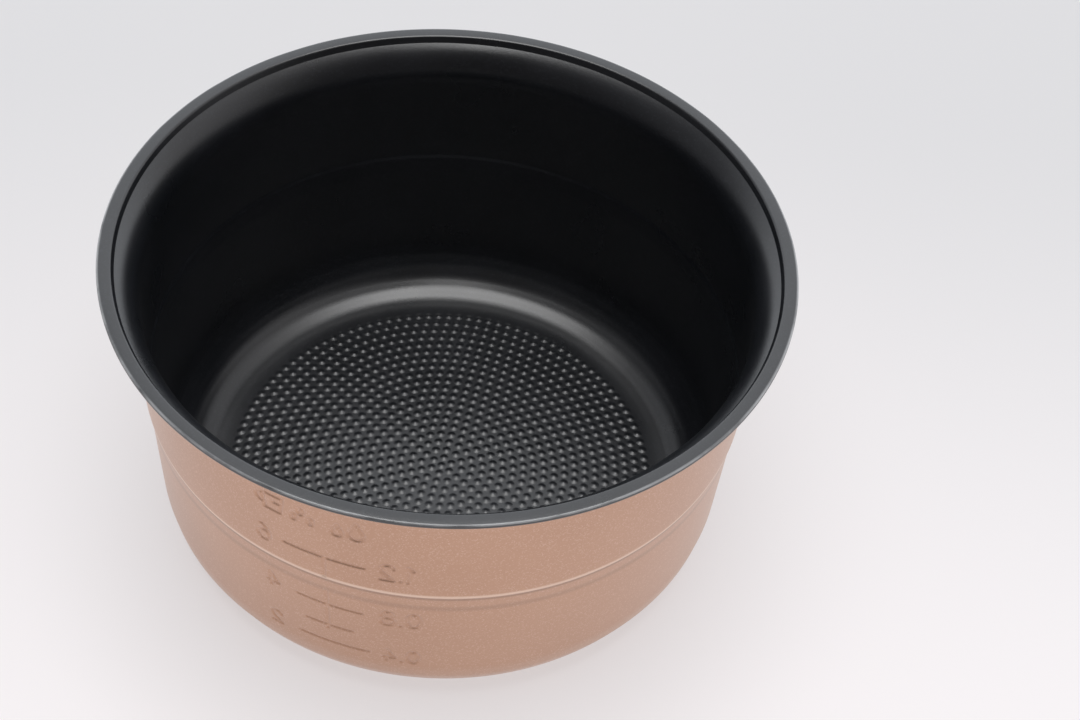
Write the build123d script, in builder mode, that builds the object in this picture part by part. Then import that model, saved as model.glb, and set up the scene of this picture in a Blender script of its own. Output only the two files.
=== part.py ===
"""Inner pot of a small electric rice cooker, in millimetres.

One sheet-aluminium pressing with a flat rim flange, a small step and a flared mouth just
inside it, a shoulder part of the way down the wall and a large bottom radius.  Two coatings cover it:
a black non-stick one inside, lapped round the edge of the flange, and a metallic paint
outside, which stops at the bare contact face of the base.  +Z is up, and the origin is
the centre of the base.

Each layer is one closed outline turned about Z.  The outlines are all the same path, the
food side of the wall, moved by a depth into the metal.
"""
import math
import os

from build123d import *

# Overall sizes
rim_diameter = 240.0
pot_height = 121.0
cavity_diameter = 214.0

# Sheet and coatings
sheet_thickness = 1.3
coating_thickness = 0.25

# Rim: flat flange, step down, flared mouth that curves into the wall
flange_width = 4.8
rim_step_depth = 2.5
rim_step_run = 0.9
rim_edge_radius = 0.7
flange_bend_radius = 1.0
step_foot_radius = 0.5
mouth_drop = 4.7
mouth_radius = 15.7
lap_width = 2.5

# Shoulder: crest below the rim, small step in, sloping band
shoulder_depth = 53.3
shoulder_step_run = 0.6
shoulder_step_height = 1.3
band_run = 0.6
band_height = 6.6
crest_radius = 1.6
band_radius = 1.2
band_foot_radius = 4.0

# Lower wall and bottom corner
lower_wall_run = 2.7
bottom_radius = 19.2
pad_margin = 1.5

# Level scale: pressed in from outside, so that it stands up inside
scale_angle = 250.3
line_width = 1.3
groove_depth = 0.15
ridge_height = 0.3
block_depth = 12.0
level_lines = [(78.5, 30.0), (50.2, 24.5), (37.4, 17.0), (27.0, 26.0)]
stem_spans = [(67.8, 77.9), (35.4, 58.5)]

wall_thickness = sheet_thickness + 2 * coating_thickness
rim_radius = rim_diameter / 2
cavity_radius = cavity_diameter / 2
tightest_bend = 0.15
longest_bend_share = 0.98


def eased(path):
    """A path whose bends are made smaller together where a straight is too short for them."""
    points = [Vector(*point) for point, _ in path]
    runs = [end - start for start, end in zip(points, points[1:])]
    turns = [math.radians(one.get_angle(two)) for one, two in zip(runs, runs[1:])]
    lengths = [bend * math.tan(turn / 2) for (_, bend), turn in zip(path[1:-1], turns)]
    needs = [one + two for one, two in zip([0] + lengths, lengths + [0])]
    shares = [min(1, longest_bend_share * run.length / max(need, run.length / 2))
              for run, need in zip(runs, needs)]
    scales = [1] + [min(pair) for pair in zip(shares, shares[1:])] + [1]
    return [(point, bend * scale) for (point, bend), scale in zip(path, scales)]


def food_side():
    """Corners of the food side, flange edge to base centre, each with its bend radius."""
    mouth_z = pot_height - rim_step_depth
    crest_z = pot_height - shoulder_depth
    step_z = crest_z - shoulder_step_height
    band_z = step_z - band_height
    flange_in = rim_radius - flange_width
    step_r = cavity_radius - shoulder_step_run
    band_r = step_r - band_run
    foot_r = band_r - lower_wall_run
    return eased([
        ((rim_radius, pot_height), rim_edge_radius),
        ((flange_in, pot_height), flange_bend_radius),
        ((flange_in - rim_step_run, mouth_z), step_foot_radius),
        ((cavity_radius, mouth_z - mouth_drop), mouth_radius),
        ((cavity_radius, crest_z), crest_radius),
        ((step_r, step_z), band_radius),
        ((band_r, band_z), band_foot_radius),
        ((foot_r, wall_thickness), bottom_radius),
        ((0, wall_thickness), 0),
    ])


def lapped_side():
    """The food side, started under the flange where the lap of the non-stick ends."""
    under_z = pot_height - wall_thickness
    lap = [((rim_radius - lap_width, under_z), 0), ((rim_radius, under_z), rim_edge_radius)]
    return lap + food_side()


def moved(path, depth):
    """A path moved by depth to its left, which is the metal side, with its bends to suit."""
    points = [Vector(*point) for point, _ in path]
    runs = [(end - start).normalized() for start, end in zip(points, points[1:])]
    sides = [Vector(-run.Y, run.X) for run in runs]
    result = [(points[0] + sides[0] * depth, 0)]
    for index in range(1, len(points) - 1):
        before, after = sides[index - 1], sides[index]
        point = points[index] + (before + after) * (depth / (1 + before.dot(after)))
        turn = math.copysign(1, runs[index - 1].cross(runs[index]).Z)
        radius = max(path[index][1] - turn * depth, tightest_bend)
        result.append((point, radius))
    result.append((points[-1] + sides[-1] * depth, 0))
    return result


def outer_side(depth):
    """The outside of the pot at a depth below its paint, from the lap to the base centre."""
    side = moved(food_side(), wall_thickness - depth)
    start = Vector(rim_radius - lap_width, pot_height - wall_thickness + depth)
    return [(start, 0)] + side[1:]


def turned(inner, outer):
    """The solid of revolution between two paths that run the same way."""
    outline = inner + outer[::-1]
    corners = [point for point, _ in outline]
    bends = [bend for _, bend in outline]
    with BuildPart() as layer:
        with BuildSketch(Plane.XZ):
            with BuildLine():
                FilletPolyline(*corners, radius=bends, close=True)
            make_face()
        revolve(axis=Axis.Z)
    return layer.part


def base_pad_radius():
    """Radius of the bare contact face, just inside the start of the bottom corner."""
    corner = moved(food_side(), wall_thickness)[-2]
    wall = moved(food_side(), wall_thickness)[-3]
    lean = math.atan2(wall[0].X - corner[0].X, wall[0].Y - corner[0].Y)
    tangent_length = corner[1] * math.tan((math.pi / 2 - lean) / 2)
    return corner[0].X - tangent_length - pad_margin


def scale_blocks():
    """Bars across the wall where the level lines and the stem of the scale are."""
    angle = math.radians(scale_angle)
    centre = Vector(math.cos(angle), math.sin(angle)) * cavity_radius
    with BuildPart() as blocks:
        for height, length in level_lines:
            with Locations(Location((centre.X, centre.Y, height), (0, 0, scale_angle))):
                Box(block_depth, length, line_width)
        for low, high in stem_spans:
            middle = (low + high) / 2
            with Locations(Location((centre.X, centre.Y, middle), (0, 0, scale_angle))):
                Box(block_depth, line_width, high - low)
    return blocks.part


def wall_part(path):
    """The part of a path from the mouth inwards, which leaves the rim out."""
    first, *rest = path[-6:]
    return [(first[0], 0)] + rest


def make_shell():
    """The aluminium pressing, thicker at the base by the depth of the missing paint."""
    with BuildPart() as pot_shell:
        add(turned(moved(lapped_side(), coating_thickness), outer_side(coating_thickness)[1:]))
        with BuildSketch(Plane.XY):
            Circle(base_pad_radius())
        extrude(amount=wall_thickness / 2)
    pot_shell.part.label = "pot_shell"
    export_step(pot_shell.part, "parts/pot_shell.step")
    return pot_shell.part


def make_nonstick():
    """The black coating inside, over the flange and lapped round its edge."""
    exposed = lapped_side()
    under, proud = moved(exposed, coating_thickness / 2), moved(exposed, -ridge_height)
    with BuildPart() as raised_lines:
        add(turned(wall_part(proud), wall_part(under)))
        add(scale_blocks(), mode=Mode.INTERSECT)
    with BuildPart() as nonstick_coating:
        add(turned(moved(exposed, 0), moved(exposed, coating_thickness)))
        add(raised_lines.part)
    nonstick_coating.part.label = "nonstick_coating"
    export_step(nonstick_coating.part, "parts/nonstick_coating.step")
    return nonstick_coating.part


def make_outer_coating():
    """The metallic paint outside, open at the base for the bare contact face."""
    with BuildPart() as pressed_lines:
        add(turned(wall_part(outer_side(groove_depth)), wall_part(outer_side(0))))
        add(scale_blocks(), mode=Mode.INTERSECT)
    with BuildPart() as outer_coating:
        add(turned(outer_side(coating_thickness), outer_side(0)))
        with BuildSketch(Plane.XY):
            Circle(base_pad_radius())
        extrude(amount=wall_thickness, mode=Mode.SUBTRACT)
        add(pressed_lines.part, mode=Mode.SUBTRACT)
    outer_coating.part.label = "outer_coating"
    export_step(outer_coating.part, "parts/outer_coating.step")
    return outer_coating.part


os.makedirs("parts", exist_ok=True)
for piece in (make_shell(), make_nonstick(), make_outer_coating()):
    print(piece.label, len(piece.solids()), "solid,", round(piece.volume), "mm3")
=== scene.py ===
# %% [markdown]
# # The inner pot of a rice cooker
#
# The real pot is one disc of aluminium, drawn into a bowl in a press. Afterwards it gets
# a black non-stick coating inside and a rose-copper metallic paint outside. So this file
# makes three thin closed shells of revolution that lie on each other, and then the small
# reliefs that a press leaves: round dimples in the floor and a level scale in the wall.
#
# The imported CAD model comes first. It is the frame that every piece is fitted to.

# %% Load the frame
import math

import bmesh
import bpy
import numpy as np
from mathutils import Matrix, Vector


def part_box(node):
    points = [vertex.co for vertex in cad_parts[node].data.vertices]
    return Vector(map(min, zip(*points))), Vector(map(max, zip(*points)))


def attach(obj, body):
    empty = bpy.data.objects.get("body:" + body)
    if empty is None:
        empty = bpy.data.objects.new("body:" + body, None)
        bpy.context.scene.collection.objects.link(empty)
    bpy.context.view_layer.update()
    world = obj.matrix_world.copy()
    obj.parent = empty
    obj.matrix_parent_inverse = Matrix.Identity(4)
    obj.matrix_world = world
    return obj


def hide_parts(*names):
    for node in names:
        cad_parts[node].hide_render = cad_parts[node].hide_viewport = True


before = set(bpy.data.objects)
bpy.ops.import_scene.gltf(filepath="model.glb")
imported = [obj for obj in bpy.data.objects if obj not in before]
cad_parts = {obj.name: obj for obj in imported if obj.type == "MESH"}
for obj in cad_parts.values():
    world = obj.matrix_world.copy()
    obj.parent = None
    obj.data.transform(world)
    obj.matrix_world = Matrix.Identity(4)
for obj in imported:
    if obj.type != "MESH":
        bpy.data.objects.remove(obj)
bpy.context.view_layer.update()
print("CAD nodes:", sorted(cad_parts))

# %% [markdown]
# ## Sizes
#
# Blender works in metres, and a pot is easier to think about in millimetres, so `MM`
# turns one into the other. The rim's radius and the pot's height are read from the CAD
# box. The rest of the profile repeats the CAD model's own driving sizes, apart from the
# two coatings, which are drawn a little thicker here so that the scale can be pressed
# into them. The whole wall keeps its 1.8 mm.

# %% Sizes of the pot
MM = 0.001
rim_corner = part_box("nonstick_coating")[1]
rim_radius = rim_corner.x
pot_height = rim_corner.z
cavity_radius = 107 * MM
wall = 1.8 * MM
film = 0.45 * MM
flange_width = 4.8 * MM
rim_step = Vector((0.9 * MM, 2.5 * MM))
mouth_drop = 4.7 * MM
lap_width = 2.5 * MM
crest_depth = 53.3 * MM
shoulder_step = Vector((0.6 * MM, 1.3 * MM))
shoulder_band = Vector((0.6 * MM, 6.6 * MM))
lower_wall_run = 2.7 * MM
pad_margin = 1.5 * MM
rim_edge_bend = 0.7 * MM
flange_bend = 1.0 * MM
step_foot_bend = 0.5 * MM
mouth_bend = 15.7 * MM
crest_bend = 1.6 * MM
band_bend = 1.2 * MM
band_foot_bend = 4.0 * MM
bottom_bend = 19.2 * MM
print(f"rim {2 * rim_radius / MM:.1f} mm across, pot {pot_height / MM:.1f} mm high")

# %% [markdown]
# ## Camera
#
# A long lens looks down into the pot from the front at a little under fifty degrees, so
# that the dimpled floor, the far wall and the outside of the near wall all show. A track
# quaternion aims it, and a small turn about the line of sight comes last. The aim point
# lies to the right of the pot, which puts the pot left of centre.

# %% Camera
camera = bpy.data.objects.new("camera", bpy.data.cameras.new("camera"))
bpy.context.scene.collection.objects.link(camera)
bpy.context.scene.camera = camera
camera.data.lens = 64.19
camera.data.sensor_width = 36
camera.data.clip_start = 0.01
camera.data.clip_end = 30
stand_point = Vector((0, -473.2, 586.8)) * MM
aim_point = Vector((34.47, 4.54, 60.5)) * MM
sight = aim_point - stand_point
aimed = sight.to_track_quat("-Z", "Y").to_matrix().to_4x4()
lean = Matrix.Rotation(math.radians(5.756), 4, "Z")
camera.matrix_world = Matrix.Translation(stand_point) @ aimed @ lean
print(f"camera {sight.length:.3f} m from its aim point")

# %% [markdown]
# ## Light
#
# The pot stands in a white sweep under soft daylight. A world colour that changes with
# direction gives that: bright behind, softer at the right, dimmer at the left, and dark
# low in front, where the room is. Satin metal shows such a change as a slow shift of tone
# round the wall. The camera itself sees only the pale backdrop colour. One large softbox
# hangs over the pot and lights its floor.

# %% Helpers for node trees
def add_node(tree, kind, **inputs):
    """Adds a node of a kind and sets its inputs by name, with _ for a space."""
    node = tree.nodes.new("ShaderNode" + kind)
    for name, value in inputs.items():
        node.inputs[name.replace("_", " ")].default_value = value
    return node


def wire(tree, source, target):
    """Joins an output socket to an input socket."""
    tree.links.new(source, target)


def add_math(tree, operation, first, second=0.0):
    """A Math node whose two inputs are sockets or numbers. Gives its output."""
    node = tree.nodes.new("ShaderNodeMath")
    node.operation = operation
    for slot, value in zip(node.inputs, (first, second)):
        if isinstance(value, (int, float)):
            slot.default_value = value
        else:
            wire(tree, value, slot)
    return node.outputs[0]


def add_step(tree, value, low, high):
    """A smooth step from 0 at low to 1 at high. Gives its output."""
    node = add_node(tree, "MapRange", From_Min=low, From_Max=high)
    node.interpolation_type = "SMOOTHSTEP"
    wire(tree, value, node.inputs["Value"])
    return node.outputs["Result"]


def add_blend(tree, share, first, second):
    """Mixes two colours, each a socket or an RGB triple. Gives its output."""
    node = tree.nodes.new("ShaderNodeMix")
    node.data_type = "RGBA"
    wire(tree, share, node.inputs[0])
    for slot, value in ((node.inputs[6], first), (node.inputs[7], second)):
        if isinstance(value, tuple):
            slot.default_value = (*value, 1)
        else:
            wire(tree, value, slot)
    return node.outputs[2]


def add_axes(tree, kind="Object"):
    """Texture coordinates of a kind, split into outputs named X, Y and Z."""
    split = add_node(tree, "SeparateXYZ")
    wire(tree, add_node(tree, "TexCoord").outputs[kind], split.inputs[0])
    return split.outputs


def add_radius(tree, axes):
    """The distance from the pot's axis. Gives its output."""
    squares = [add_math(tree, "MULTIPLY", axes[axis], axes[axis]) for axis in "XY"]
    return add_math(tree, "SQRT", add_math(tree, "ADD", *squares))

# %% World
world = bpy.data.worlds.new("white sweep")
bpy.context.scene.world = world
world.use_nodes = True
sky = world.node_tree
sky.nodes.clear()
low_front = (0.06, 0.055, 0.055)
left_side = (0.20, 0.20, 0.21)
right_side = (0.62, 0.61, 0.62)
back = (1.20, 1.24, 1.30)
axes = add_axes(sky, "Generated")
to_sides = add_step(sky, axes["Y"], -0.75, 0.05)
to_back = add_step(sky, axes["Y"], 0.15, 0.85)
to_right = add_step(sky, axes["X"], -0.5, 0.3)
flanks = add_blend(sky, to_right, left_side, right_side)
ahead = add_blend(sky, to_sides, low_front, flanks)
around = add_blend(sky, to_back, ahead, back)
lit = add_node(sky, "Background", Strength=1.0)
wire(sky, around, lit.inputs["Color"])
backdrop = add_node(sky, "Background", Color=(0.78, 0.77, 0.79, 1))
either = add_node(sky, "MixShader")
wire(sky, add_node(sky, "LightPath").outputs["Is Camera Ray"], either.inputs[0])
wire(sky, lit.outputs[0], either.inputs[1])
wire(sky, backdrop.outputs[0], either.inputs[2])
wire(sky, either.outputs[0], add_node(sky, "OutputWorld").inputs["Surface"])

# %% Softbox
softbox = bpy.data.lights.new("ceiling", "AREA")
softbox.size = 1.4
softbox.energy = 22
lamp = bpy.data.objects.new("ceiling", softbox)
bpy.context.scene.collection.objects.link(lamp)
lamp.location = (-0.05, -0.05, 2.0)
towards = Vector((0, 0, pot_height / 2)) - lamp.location
lamp.rotation_euler = towards.to_track_quat("-Z", "Y").to_euler()
bpy.context.scene.view_settings.view_transform = "Standard"

# %% [markdown]
# ## Table
#
# The floor is one pale sheet, a touch warmer towards the front. It glows a little, which
# is painted light: the glow is strongest just in front of the pot, dimmer behind it, and
# keeps the pot's shadow soft and pale. Further to the front the sheet is a little darker,
# a painted shade. It is transparent from below, so that the pot's underside can be looked at too.

# %% Table
def add_object(bm, name, material):
    """Turns a bmesh into an object at the origin with one material."""
    mesh = bpy.data.meshes.new(name)
    bm.to_mesh(mesh)
    bm.free()
    mesh.materials.append(material)
    piece = bpy.data.objects.new(name, mesh)
    bpy.context.scene.collection.objects.link(piece)
    return piece


paper = bpy.data.materials.new("white paper")
paper.use_nodes = True
tree = paper.node_tree
sheet = tree.nodes["Principled BSDF"]
sheet.inputs["Roughness"].default_value = 0.45
# Painted light: the sheet glows, which keeps the pot's shadow soft and pale.
sheet.inputs["Emission Strength"].default_value = 0.60
axes = add_axes(tree)
# Painted light and shade: the glow is strongest just in front of the pot and dimmer behind it, and
# the sheet is darker further to the front.
far = add_step(tree, axes["Y"], -0.20, 0.25)
front = add_step(tree, axes["Y"], -0.17, -0.90)
tint = add_blend(tree, far, (0.36, 0.343, 0.348), (0.36, 0.355, 0.362))
wire(tree, add_blend(tree, front, tint, (0.34, 0.33, 0.335)), sheet.inputs["Base Color"])
painted_glow = add_blend(tree, far, (1.0, 0.965, 0.975), (0.60, 0.60, 0.61))
wire(tree, add_blend(tree, front, painted_glow, (0.72, 0.70, 0.71)), sheet.inputs["Emission Color"])
either = add_node(tree, "MixShader")
wire(tree, add_node(tree, "NewGeometry").outputs["Backfacing"], either.inputs[0])
wire(tree, sheet.outputs[0], either.inputs[1])
wire(tree, add_node(tree, "BsdfTransparent").outputs[0], either.inputs[2])
wire(tree, either.outputs[0], tree.nodes["Material Output"].inputs["Surface"])
table = bmesh.new()
bmesh.ops.create_grid(table, x_segments=1, y_segments=1, size=4.0)
add_object(table, "table", paper)

# %% [markdown]
# ## Finishes
#
# Three finishes come from the same few effects, so each effect is a node group: a fine
# orange peel, which every sprayed and baked film has, fine rings about the pot's axis,
# which spinning and polishing leave, and a mask for a thin band at an edge. That mask
# marks a rubbed foot on the copper and a painted highlight, patchy like rubbing, on the
# lining's lip. The groups read Object coordinates in metres, so a pattern keeps its size.

# %% Make a node group
def new_group(name, inputs, outputs):
    """An empty shader group with named float inputs and float outputs."""
    group = bpy.data.node_groups.new(name, "ShaderNodeTree")
    for title, start in inputs:
        made = group.interface.new_socket(title, in_out="INPUT", socket_type="NodeSocketFloat")
        made.default_value = start
    for title in outputs:
        group.interface.new_socket(title, in_out="OUTPUT", socket_type="NodeSocketFloat")
    return group, group.nodes.new("NodeGroupInput"), group.nodes.new("NodeGroupOutput")


def use_group(tree, group, **inputs):
    """Places a group in a material with its own values."""
    node = tree.nodes.new("ShaderNodeGroup")
    node.node_tree = group
    for name, value in inputs.items():
        node.inputs[name.replace("_", " ")].default_value = value
    return node


def add_noise(tree, scale, detail, coordinates):
    """A noise texture, whose output lies near the middle of 0 to 1."""
    node = add_node(tree, "TexNoise", Detail=detail)
    wire(tree, coordinates, node.inputs["Vector"])
    if isinstance(scale, (int, float)):
        node.inputs["Scale"].default_value = scale
    else:
        wire(tree, scale, node.inputs["Scale"])
    return node.outputs["Fac"]

# %% Orange peel
peel, start, end = new_group("orange peel", [("Grain Scale", 900.0), ("Cloud Scale", 22.0)],
                             ["Height", "Cloud", "Fleck"])
where = add_node(peel, "TexCoord").outputs["Object"]
grain = add_noise(peel, start.outputs["Grain Scale"], 3.0, where)
cloud = add_noise(peel, start.outputs["Cloud Scale"], 4.0, where)
speck = add_node(peel, "TexVoronoi")
wire(peel, where, speck.inputs["Vector"])
wire(peel, add_math(peel, "MULTIPLY", start.outputs["Grain Scale"], 1.6), speck.inputs["Scale"])
tone = add_node(peel, "SeparateColor")
wire(peel, speck.outputs["Color"], tone.inputs[0])
wire(peel, grain, end.inputs["Height"])
wire(peel, add_step(peel, cloud, 0.3, 0.7), end.inputs["Cloud"])
wire(peel, add_step(peel, tone.outputs[0], 0.75, 1.0), end.inputs["Fleck"])

# %% Turned rings
rings, start, end = new_group("turned rings", [("Rings Scale", 2500.0)], ["Height"])
axes = add_axes(rings)
spread = add_node(rings, "CombineXYZ")
wire(rings, add_radius(rings, axes), spread.inputs["X"])
wire(rings, axes["Z"], spread.inputs["Z"])
streaks = add_noise(rings, start.outputs["Rings Scale"], 2.0, spread.outputs[0])
wire(rings, streaks, end.inputs["Height"])

# %% Rubbed edge and lip highlight
edge_rub_and_highlight, start, end = new_group("rubbed edge and lip highlight", [("Low", 0.119), ("High", 0.12)], ["Mask"])
ramp = add_node(edge_rub_and_highlight, "MapRange")
wire(edge_rub_and_highlight, add_radius(edge_rub_and_highlight, add_axes(edge_rub_and_highlight)), ramp.inputs["Value"])
wire(edge_rub_and_highlight, start.outputs["Low"], ramp.inputs["From Min"])
wire(edge_rub_and_highlight, start.outputs["High"], ramp.inputs["From Max"])
blotches = add_noise(edge_rub_and_highlight, 60.0, 5.0, add_node(edge_rub_and_highlight, "TexCoord").outputs["Object"])
patchy = add_step(edge_rub_and_highlight, blotches, 0.20, 0.60)
wire(edge_rub_and_highlight, add_math(edge_rub_and_highlight, "MULTIPLY", ramp.outputs[0], patchy), end.inputs["Mask"])
print("groups:", [group.name for group in bpy.data.node_groups])

# %% [markdown]
# The non-stick film is near black with a cool tint. It is satin and not matt: it holds a
# broad soft highlight, which on the floor reads as blue grey. A faint fleck breaks it up.
# The top bend of the rim's edge is painted pale grey and made smoother: a painted
# highlight along the lip, patchy where lids and spoons have rubbed it.

# %% Non-stick film
def new_material(name, **inputs):
    """A material with its Principled BSDF set by name. Gives the material and parts."""
    material = bpy.data.materials.new(name)
    material.use_nodes = True
    shader = material.node_tree.nodes["Principled BSDF"]
    for title, value in inputs.items():
        shader.inputs[title.replace("_", " ")].default_value = value
    return material, material.node_tree, shader


def add_bump(tree, height, distance, strength, shader):
    """Feeds a height through a Bump node into a shader's normal."""
    node = add_node(tree, "Bump", Distance=distance, Strength=strength)
    wire(tree, height, node.inputs["Height"])
    wire(tree, node.outputs[0], shader.inputs["Normal"])


nonstick, tree, shader = new_material("black non-stick", Specular_IOR_Level=1.0)
skin = use_group(tree, peel, Grain_Scale=1100.0, Cloud_Scale=25.0)
# Painted highlight along the lip: the top bend of the rim's edge turns pale grey, patchy like
# rubbing.
edge = use_group(tree, edge_rub_and_highlight, Low=rim_radius - 0.9 * MM, High=rim_radius - 0.3 * MM)
on_top = add_step(tree, add_axes(tree)["Z"], pot_height - 0.6 * MM, pot_height - 0.3 * MM)
plain = add_blend(tree, skin.outputs["Cloud"], (0.007, 0.008, 0.010), (0.010, 0.011, 0.014))
faint = add_math(tree, "MULTIPLY", skin.outputs["Fleck"], 0.35)
flecked = add_blend(tree, faint, plain, (0.030, 0.033, 0.040))
lip_highlight_and_rubbing = add_math(tree, "MULTIPLY", edge.outputs["Mask"], on_top)
wire(tree, add_blend(tree, lip_highlight_and_rubbing, flecked, (0.42, 0.43, 0.44)), shader.inputs["Base Color"])
soft = add_math(tree, "ADD", add_math(tree, "MULTIPLY", skin.outputs["Cloud"], 0.05), 0.27)
gloss = add_math(tree, "SUBTRACT", soft, add_math(tree, "MULTIPLY", lip_highlight_and_rubbing, 0.08))
wire(tree, gloss, shader.inputs["Roughness"])
add_bump(tree, skin.outputs["Height"], 0.00006, 0.35, shader)

# %% [markdown]
# The paint is full of fine metal flakes, so it behaves like satin metal: a strong base
# colour in the highlight and a slow shift of tone. The flakes are a tiny change of base
# colour from speck to speck, and the film has the same orange peel as the lining, only
# finer. A thin line along the crest of the shoulder is painted paler, a painted highlight,
# and the creases under it are painted darker, a painted shade.

# %% Copper paint
copper, tree, shader = new_material("copper paint", Metallic=0.94, Coat_Weight=0.85,
                                    Coat_Roughness=0.35)
skin = use_group(tree, peel, Grain_Scale=1700.0, Cloud_Scale=14.0)
turned_marks = use_group(tree, rings, Rings_Scale=900.0)
plain = add_blend(tree, skin.outputs["Cloud"], (0.560, 0.325, 0.212), (0.600, 0.355, 0.236))
flake = add_math(tree, "MULTIPLY", skin.outputs["Fleck"], 0.30)
flaked = add_blend(tree, flake, plain, (0.90, 0.70, 0.60))
foot = use_group(tree, edge_rub_and_highlight, Low=88 * MM, High=84 * MM)
scuffed = add_math(tree, "MULTIPLY", foot.outputs["Mask"], 0.18)
scuffed_paint = add_blend(tree, scuffed, flaked, (0.42, 0.28, 0.22))
height_above_base = add_axes(tree)["Z"]


def height_band(height, inner, outer):
    """A soft line round the pot: 1 within inner of a height, 0 beyond outer, in mm."""
    offset = add_math(tree, "SUBTRACT", height_above_base, height * MM)
    return add_step(tree, add_math(tree, "ABSOLUTE", offset), outer * MM, inner * MM)


# Painted highlight: a pale line along the crest of the shoulder.
crest = add_math(tree, "MULTIPLY", height_band(67.5, 0.3, 1.3), 0.75)
# Painted shade: darker lines in the creases under the crest.
band_foot_line = add_math(tree, "MULTIPLY", height_band(59.5, 0.3, 2.2), 0.5)
creases = add_math(tree, "MAXIMUM", height_band(65.6, 0.2, 1.2), band_foot_line)
crease_shade = add_math(tree, "MULTIPLY", creases, 0.55)
crease_shaded_paint = add_blend(tree, crease_shade, scuffed_paint, (0.30, 0.17, 0.11))
wire(tree, add_blend(tree, crest, crease_shaded_paint, (0.93, 0.72, 0.58)), shader.inputs["Base Color"])
streaky = add_math(tree, "MULTIPLY", turned_marks.outputs["Height"], 0.06)
wire(tree, add_math(tree, "ADD", streaky, 0.45), shader.inputs["Roughness"])
add_bump(tree, skin.outputs["Height"], 0.00004, 0.30, shader)

# %% [markdown]
# The contact face under the pot stays bare, because heat has to pass through it. It is
# turned flat on a lathe, and the tool leaves fine rings that catch the light in a fan.

# %% Bare aluminium
aluminium, tree, shader = new_material("bare aluminium", Metallic=1.0)
cut = use_group(tree, rings, Rings_Scale=2600.0)
skin = use_group(tree, peel, Grain_Scale=700.0, Cloud_Scale=30.0)
plain = add_blend(tree, cut.outputs["Height"], (0.70, 0.70, 0.71), (0.84, 0.84, 0.85))
dulled = add_math(tree, "MULTIPLY", skin.outputs["Cloud"], 0.25)
wire(tree, add_blend(tree, dulled, plain, (0.60, 0.59, 0.59)), shader.inputs["Base Color"])
soft = add_math(tree, "ADD", add_math(tree, "MULTIPLY", skin.outputs["Cloud"], 0.10), 0.28)
wire(tree, soft, shader.inputs["Roughness"])
add_bump(tree, cut.outputs["Height"], 0.00008, 0.6, shader)
print("materials:", [material.name for material in bpy.data.materials])

# %% [markdown]
# ## The profile
#
# A bowl is drawn once, as a section in the XZ plane, and spun about Z. The section is
# only its corner points, each with the bend radius that the press tool has there. The
# same path, moved sideways by some depth into the metal, gives every layer: the corners
# slide along their bisectors, and a bend grows or shrinks by the depth.

# %% Corner points of the food side
def food_side():
    """Corners of the food side from the rim's edge to the centre, with bend radii."""
    flange_end = Vector((rim_radius - flange_width, pot_height))
    mouth_start = flange_end - rim_step
    crest = Vector((cavity_radius, pot_height - crest_depth))
    step_foot = crest - shoulder_step
    band_foot = step_foot - shoulder_band
    return [
        (Vector((rim_radius, pot_height)), rim_edge_bend),
        (flange_end, flange_bend),
        (mouth_start, step_foot_bend),
        (Vector((cavity_radius, mouth_start.y - mouth_drop)), mouth_bend),
        (crest, crest_bend),
        (step_foot, band_bend),
        (band_foot, band_foot_bend),
        (Vector((band_foot.x - lower_wall_run, wall)), bottom_bend),
        (Vector((0, wall)), 0),
    ]


def lapped_side():
    """The food side, with the coating's lap under the flange put in front of it."""
    under = pot_height - wall
    lap_start = (Vector((rim_radius - lap_width, under)), 0)
    lower_edge = (Vector((rim_radius, under)), rim_edge_bend)
    return [lap_start, lower_edge] + food_side()

# %% Move a path into the metal
tightest_bend = 0.15 * MM


def moved(path, depth):
    """The path shifted to its left, which is the metal side, with bends to suit."""
    runs = [(after[0] - before[0]).normalized() for before, after in zip(path, path[1:])]
    lefts = [Vector((-run.y, run.x)) for run in runs]
    result = [(path[0][0] + lefts[0] * depth, 0)]
    for index in range(1, len(path) - 1):
        one, two = lefts[index - 1], lefts[index]
        corner = path[index][0] + (one + two) * (depth / (1 + one.dot(two)))
        turn = math.copysign(1, one.x * two.y - one.y * two.x)
        result.append((corner, max(path[index][1] - turn * depth, tightest_bend)))
    result.append((path[-1][0] + lefts[-1] * depth, 0))
    return result


def outer_side(depth):
    """The outside of the wall at a depth under its surface, from the lap inwards."""
    side = moved(food_side(), wall - depth)
    lap_end = Vector((rim_radius - lap_width, pot_height - wall + depth))
    return [(lap_end, 0)] + side[1:]

# %% [markdown]
# The corners become arcs with a vertex bevel, which works on bare edges too. A bevel
# measures how far it reaches back along an edge, so the radius is turned into that reach
# with the tangent of half the turn. Then `spin` sweeps the section round the axis, and
# merging the doubles closes the seam and the poles.

# %% Draw a section
bend_step = math.radians(14)
fewest_steps = 4


def draw_section(bm, path, cell=None):
    """Adds a path as bare edges, bevels its corners and cuts runs longer than a cell."""
    older = set(bm.edges)
    chain = [bm.verts.new((point.x, 0, point.y)) for point, _ in path]
    for pair in zip(chain, chain[1:]):
        bm.edges.new(pair)
    for (before, _), (corner, bend), (after, _), vert in zip(path, path[1:], path[2:], chain[1:]):
        if bend == 0:
            continue
        turn = (corner - before).angle(after - corner)
        steps = max(fewest_steps, round(turn / bend_step))
        bmesh.ops.bevel(bm, geom=[vert], offset=bend * math.tan(turn / 2), offset_type="OFFSET",
                        segments=steps, profile=0.5, affect="VERTICES", material=-1,
                        clamp_overlap=False)
    if cell:
        for edge in [edge for edge in bm.edges if edge not in older]:
            cuts = math.ceil(edge.calc_length() / cell) - 1
            if cuts > 0:
                bmesh.ops.subdivide_edges(bm, edges=[edge], cuts=cuts)

# %% Spin a closed section
turns = 240
hair = 0.001 * MM


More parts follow.
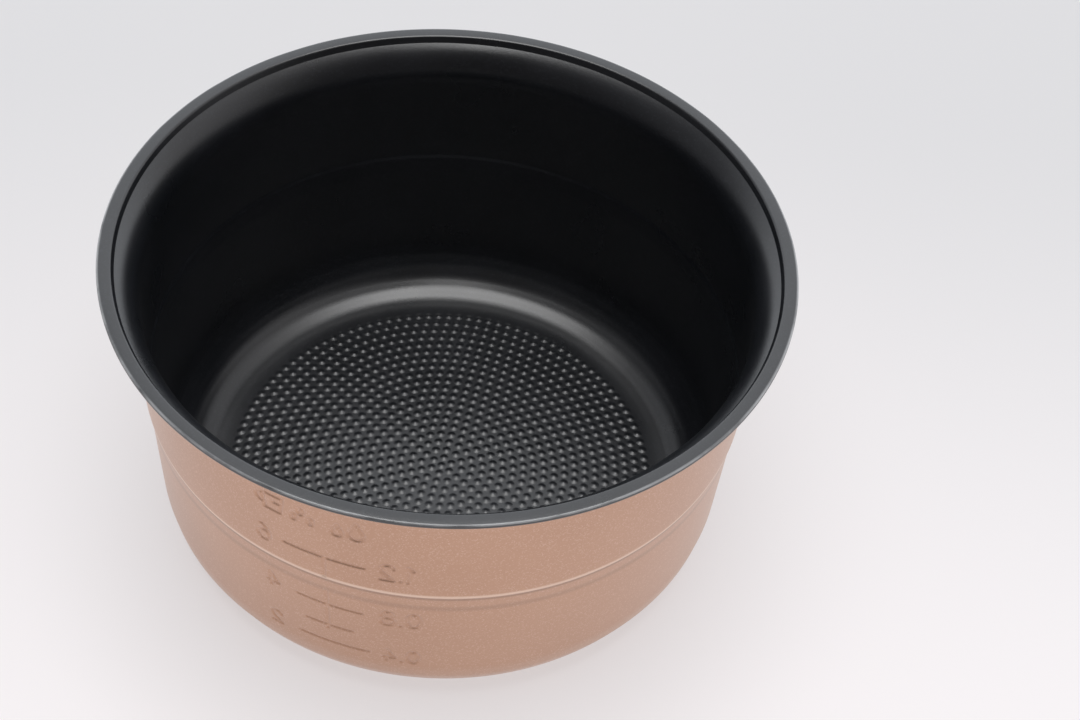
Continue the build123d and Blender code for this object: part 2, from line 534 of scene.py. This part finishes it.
def spin_section(bm):
    """Joins the sections' ends, spins them about Z and closes seam and poles."""
    bmesh.ops.remove_doubles(bm, verts=bm.verts[:], dist=hair)
    loose = [vert for vert in bm.verts if len(vert.link_edges) == 1 and vert.co.x > MM]
    if len(loose) == 2:
        bm.edges.new(loose)
    bmesh.ops.spin(bm, geom=bm.verts[:] + bm.edges[:], cent=(0, 0, 0), axis=(0, 0, 1),
                   angle=math.tau, steps=turns, use_merge=True, use_normal_flip=False)
    bmesh.ops.remove_doubles(bm, verts=bm.verts[:], dist=hair)
    bmesh.ops.recalc_face_normals(bm, faces=bm.faces[:])
    open_edges = [edge for edge in bm.edges if len(edge.link_faces) != 2]
    volume = bm.calc_volume() / MM ** 3
    print(f"  {len(bm.faces)} faces, {len(open_edges)} open edges, {volume:.0f} mm3")


def finish_surface(bm, sharp=math.radians(38)):
    """Smooth shading, apart from edges that turn by more than the sharp angle."""
    for face in bm.faces:
        face.smooth = True
    for edge in bm.edges:
        edge.smooth = len(edge.link_faces) == 2 and edge.calc_face_angle() < sharp

# %% [markdown]
# ## Level scale
#
# The marks are pressed into the wall from outside, so they are sunk in the paint and
# stand up inside. They are read from inside: cups on the right, litres on the left, and a
# line for each level between them. Above each column is a small picture of what it
# measures: a measuring cup with grains of rice, and drops of water.
#
# Every mark is a few strokes, drawn as lines and arcs on the unrolled wall, with x along
# the wall in the reading direction and y up, in millimetres. The mesh is cut finer where
# the scale is, and each vertex there moves along the radius by its distance to the
# nearest stroke. That gives real relief with soft flanks, which a pressed mark has.

# %% Strokes
def arc(x, y, across, up, start, stop, steps=14):
    """Points on an ellipse about (x, y), from one angle to another in degrees."""
    turn = np.radians(np.linspace(start, stop, steps))
    return np.column_stack((x + across * np.cos(turn), y + up * np.sin(turn)))


def line(*points):
    """Points of a polyline."""
    return np.array(points, dtype=float)


glyphs = {
    "0": (1.0, [arc(0.5, 0.5, 0.5, 0.5, 0, 360, 24)]),
    "1": (0.45, [line((0.0, 0.78), (0.42, 1.0), (0.42, 0.0))]),
    "2": (1.0, [arc(0.5, 0.70, 0.48, 0.30, 165, -38), line((0.87, 0.51), (0.0, 0.0), (1.0, 0.0))]),
    "4": (1.0, [line((0.74, 0.0), (0.74, 1.0), (0.0, 0.28), (1.0, 0.28))]),
    "6": (1.0, [arc(0.5, 0.31, 0.5, 0.31, 0, 360, 20), arc(0.86, 0.31, 0.86, 0.69, 180, 98)]),
    "8": (1.0, [arc(0.5, 0.76, 0.40, 0.24, 0, 360, 18), arc(0.5, 0.27, 0.5, 0.27, 0, 360, 20)]),
    ".": (0.12, [line((0.06, 0.02), (0.06, 0.02))]),
}

# %% Place the marks
scale_radius = 107.9
scale_turn = 250.3
digit_size = np.array((4.6, 8.0))
low_digit_size = digit_size * 0.88
digit_gap = 1.9
strokes = []


def along(angle):
    """Reading distance in mm from the scale's stem to an angle about Z in degrees."""
    return math.radians(scale_turn - angle) * scale_radius


def write_number(text, angle, height, size=digit_size):
    """Adds a number, centred on an angle and a height."""
    widths = [glyphs[letter][0] * size[0] for letter in text]
    start = along(angle) - (sum(widths) + digit_gap * (len(text) - 1)) / 2
    for letter, width in zip(text, widths):
        for stroke in glyphs[letter][1]:
            strokes.append(stroke * size + (start, height - size[1] / 2))
        start += width + digit_gap


def draw_mark(angle, height, *shapes):
    """Adds strokes given in mm about a place on the wall."""
    strokes.extend(shape + (along(angle), height) for shape in shapes)


levels = [(78.5, 242.6, 257.6), (50.2, 244.4, 257.0), (37.4, 246.0, 255.0), (27.0, 244.4, 258.0)]
for height, right, left in levels:
    strokes.append(line((along(left), height), (along(right), height)))
for low, high in [(67.8, 77.9), (35.4, 58.5)]:
    strokes.append(line((0, low), (0, high)))
write_number("6", 238.5, 78.5)
write_number("1.2", 263.3, 78.5)
write_number("4", 239.3, 51.5)
write_number("0.8", 264.0, 50.5)
write_number("2", 239.3, 28.2, low_digit_size)
write_number("0.4", 264.2, 27.2, low_digit_size)

# %% Draw the two pictures above the columns
cup = line((-3.8, 3.6), (-2.9, -3.8), (2.9, -3.8), (3.8, 3.6), (-3.8, 3.6))
handle = arc(3.6, 0.6, 2.6, 2.2, 75, -80)
fill_line = line((-3.2, 0.4), (-0.6, 0.4))
grains = [arc(x, y, 0.9, 1.7, 0, 360, 12) for x, y in ((-2.6, -1.6), (0.8, 1.8), (3.4, -1.9))]
draw_mark(240.6, 96.5, cup, handle, fill_line)
draw_mark(246.6, 96.5, *grains)


def drop(x, y, size):
    """The outline of a drop of water that is size mm wide."""
    belly = arc(x, y, size / 2, size / 2, 150, 390, 18)
    return np.vstack((belly, [(x, y + size * 1.15)], belly[:1]))


draw_mark(254.8, 95.0, drop(-2.6, 0, 5.2), drop(3.8, -0.8, 3.6))
print(len(strokes), "strokes on the scale")

# %% Distance to the nearest stroke
def stroke_distance(points):
    """For each (x, y) on the unrolled wall, how far the nearest stroke is."""
    nearest = np.full(len(points), 1e3)
    for stroke in strokes:
        for start, stop in zip(stroke, stroke[1:]):
            run = stop - start
            share = ((points - start) @ run) / max(run @ run, 1e-9)
            foot = start + np.clip(share, 0, 1)[:, None] * run
            nearest = np.minimum(nearest, np.linalg.norm(points - foot, axis=1))
    return nearest

# %% Press the scale into a wall
relief_height = 0.40 * MM
half_stroke = 0.28
soft_flank = 0.50
scale_cuts = 6
patches = [(21.8, 58.8), (67.6, 102.6)]
patch_turns = (235.4, 268.8)


def press_scale(bm, outward):
    """Cuts the wall finer under the scale and moves it inwards by the strokes' relief."""
    def under_scale(face):
        middle = face.calc_center_median()
        turn = math.degrees(math.atan2(middle.y, middle.x)) % 360
        height = middle.z / MM
        radial = face.normal.x * middle.x + face.normal.y * middle.y
        inside = any(low < height < high for low, high in patches)
        return inside and patch_turns[0] < turn < patch_turns[1] and (radial > 0) == outward
    chosen = [face for face in bm.faces if under_scale(face)]
    edges = list(dict.fromkeys(edge for face in chosen for edge in face.edges))
    bmesh.ops.subdivide_edges(bm, edges=edges, cuts=scale_cuts, use_grid_fill=True)
    patch_faces = [face for face in bm.faces if under_scale(face)]
    moving = list(dict.fromkeys(vert for face in patch_faces for vert in face.verts))
    places = np.array([vert.co for vert in moving])
    turn = np.degrees(np.arctan2(places[:, 1], places[:, 0])) % 360
    x = np.radians(scale_turn - turn) * scale_radius
    distance = stroke_distance(np.column_stack((x, places[:, 2] / MM)))
    share = np.clip((half_stroke + soft_flank - distance) / soft_flank, 0, 1)
    for vert, depth in zip(moving, relief_height * share * share * (3 - 2 * share)):
        if depth > 0:
            vert.co.xy -= vert.co.xy.normalized() * depth
    print(f"  scale: {len(chosen)} cells cut, {np.count_nonzero(share)} vertices moved")

# %% [markdown]
# ## The three layers
#
# The lining is a thin shell between the food side and the same path a film deeper. Its
# long straight runs are cut every couple of millimetres, so that the scale's patch has
# even cells, and so that the flat floor and wall don't pick up the shading of a bend.

# %% Lining
cell = 2.4 * MM
lining_bm = bmesh.new()
draw_section(lining_bm, lapped_side(), cell)
draw_section(lining_bm, moved(lapped_side(), film))
spin_section(lining_bm)
press_scale(lining_bm, outward=False)
finish_surface(lining_bm)
lining = add_object(lining_bm, "nonstick_lining", nonstick)
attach(lining, "root")
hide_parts("nonstick_coating")
print("lining:", len(lining.data.polygons), "faces")

# %% Paint
def pad_radius():
    """Radius of the bare contact face, just inside the start of the bottom corner."""
    path = moved(food_side(), wall)
    (above, _), (corner, bend), _ = path[-3:]
    turn = (corner - above).angle(Vector((-1, 0)))
    return corner.x - bend * math.tan(turn / 2) - pad_margin


def painted_side(depth):
    """The outside of the wall at a depth, ended at the contact face."""
    return outer_side(depth)[:-1] + [(Vector((pad_radius(), depth)), 0)]


paint_bm = bmesh.new()
draw_section(paint_bm, painted_side(0), cell)
draw_section(paint_bm, painted_side(film))
ends = [vert for vert in paint_bm.verts if len(vert.link_edges) == 1]
between_ends = 100 * MM
for near_axis in (True, False):
    pair = [vert for vert in ends if (vert.co.x < between_ends) == near_axis]
    paint_bm.edges.new(pair)
spin_section(paint_bm)
press_scale(paint_bm, outward=True)
finish_surface(paint_bm)
paint = add_object(paint_bm, "copper_paint_skin", copper)
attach(paint, "root")
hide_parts("outer_coating")
print("paint:", len(paint.data.polygons), "faces")
print(f"contact face radius {pad_radius() / MM:.2f} mm")

# %% [markdown]
# The pressing fills what is left between the two coatings. Only the contact face shows:
# it stands flush with the paint, and a small turned groove inside its edge and a shallow
# cup at the centre break up the flat, as a lathe leaves them.

# %% Pressing
pressing_bm = bmesh.new()
draw_section(pressing_bm, moved(lapped_side(), film))
turned_depth = 0.35 * MM
groove_start = pad_radius() - 2.2 * MM
groove_bend = 0.2 * MM
cup_radius = 9.0 * MM
cup_slope = 0.8 * MM
cup_bend = 0.5 * MM
turned_face = [
    (Vector((pad_radius(), 0)), 0),
    (Vector((groove_start, 0)), groove_bend),
    (Vector((groove_start - 0.5 * MM, turned_depth)), groove_bend),
    (Vector((groove_start - 1.3 * MM, turned_depth)), groove_bend),
    (Vector((groove_start - 1.8 * MM, 0)), groove_bend),
    (Vector((cup_radius, 0)), cup_bend),
    (Vector((cup_radius - cup_slope, turned_depth)), cup_bend),
    (Vector((0, turned_depth)), 0),
]
draw_section(pressing_bm, painted_side(film) + turned_face, 4 * cell)
spin_section(pressing_bm)
finish_surface(pressing_bm)
pressing = add_object(pressing_bm, "aluminium_pressing", aluminium)
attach(pressing, "root")
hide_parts("pot_shell")
print("pressing:", len(pressing.data.polygons), "faces")

# %% [markdown]
# ## Dimples in the floor
#
# The floor is covered with small domes in rings: six in the first ring, twelve in the
# second, and so on, so that the gap between neighbours stays the same. One dome is spun
# from a raised cosine, which meets the floor without a crease. Then each ring is one
# `spin` of a dome with duplicates, and a step count of six times the ring's number.

# %% Dimples
dimple_pitch = 4 * MM
dimple_radius = 1.8 * MM
dimple_height = 0.40 * MM
dimple_sink = 0.03 * MM
ring_count = 20
first_turn = math.radians(17.9)
dome_shares = (0, 0.35, 0.7, 1)
dome_sides = 12


def make_ring(spot, count):
    """A mesh of one ring: a dome is spun about its own axis, then copied round the pot."""
    bm = bmesh.new()
    crown = spot + Vector((0, 0, dimple_height))
    side = []
    for share in dome_shares:
        drop = dimple_height * (1 - math.cos(math.pi * share)) / 2
        side.append(crown + Vector((dimple_radius * share, 0, -drop)))
    sunk = [Vector((point.x, point.y, spot.z - dimple_sink)) for point in (side[-1], spot)]
    chain = [bm.verts.new(point) for point in side + sunk]
    edges = [bm.edges.new(pair) for pair in zip(chain, chain[1:])]
    bmesh.ops.spin(bm, geom=chain + edges, cent=spot, axis=(0, 0, 1), angle=math.tau,
                   steps=dome_sides, use_merge=True)
    bmesh.ops.remove_doubles(bm, verts=bm.verts[:], dist=hair)
    if count > 1:
        bmesh.ops.spin(bm, geom=bm.verts[:] + bm.edges[:] + bm.faces[:], cent=(0, 0, 0),
                       axis=(0, 0, 1), angle=math.tau * (count - 1) / count, steps=count - 1,
                       use_duplicate=True)
    ring_mesh = bpy.data.meshes.new("ring")
    bm.to_mesh(ring_mesh)
    bm.free()
    return ring_mesh


dimples_bm = bmesh.new()
for ring in range(ring_count + 1):
    reach = Matrix.Rotation(first_turn, 3, "Z") @ Vector((dimple_pitch * ring, 0, 0))
    ring_mesh = make_ring(reach + Vector((0, 0, wall)), max(1, 6 * ring))
    dimples_bm.from_mesh(ring_mesh)
    bpy.data.meshes.remove(ring_mesh)
bmesh.ops.recalc_face_normals(dimples_bm, faces=dimples_bm.faces[:])
finish_surface(dimples_bm)
dimples = add_object(dimples_bm, "floor_dimples", nonstick)
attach(dimples, "root")
print("dimples:", len(dimples.data.polygons), "faces")
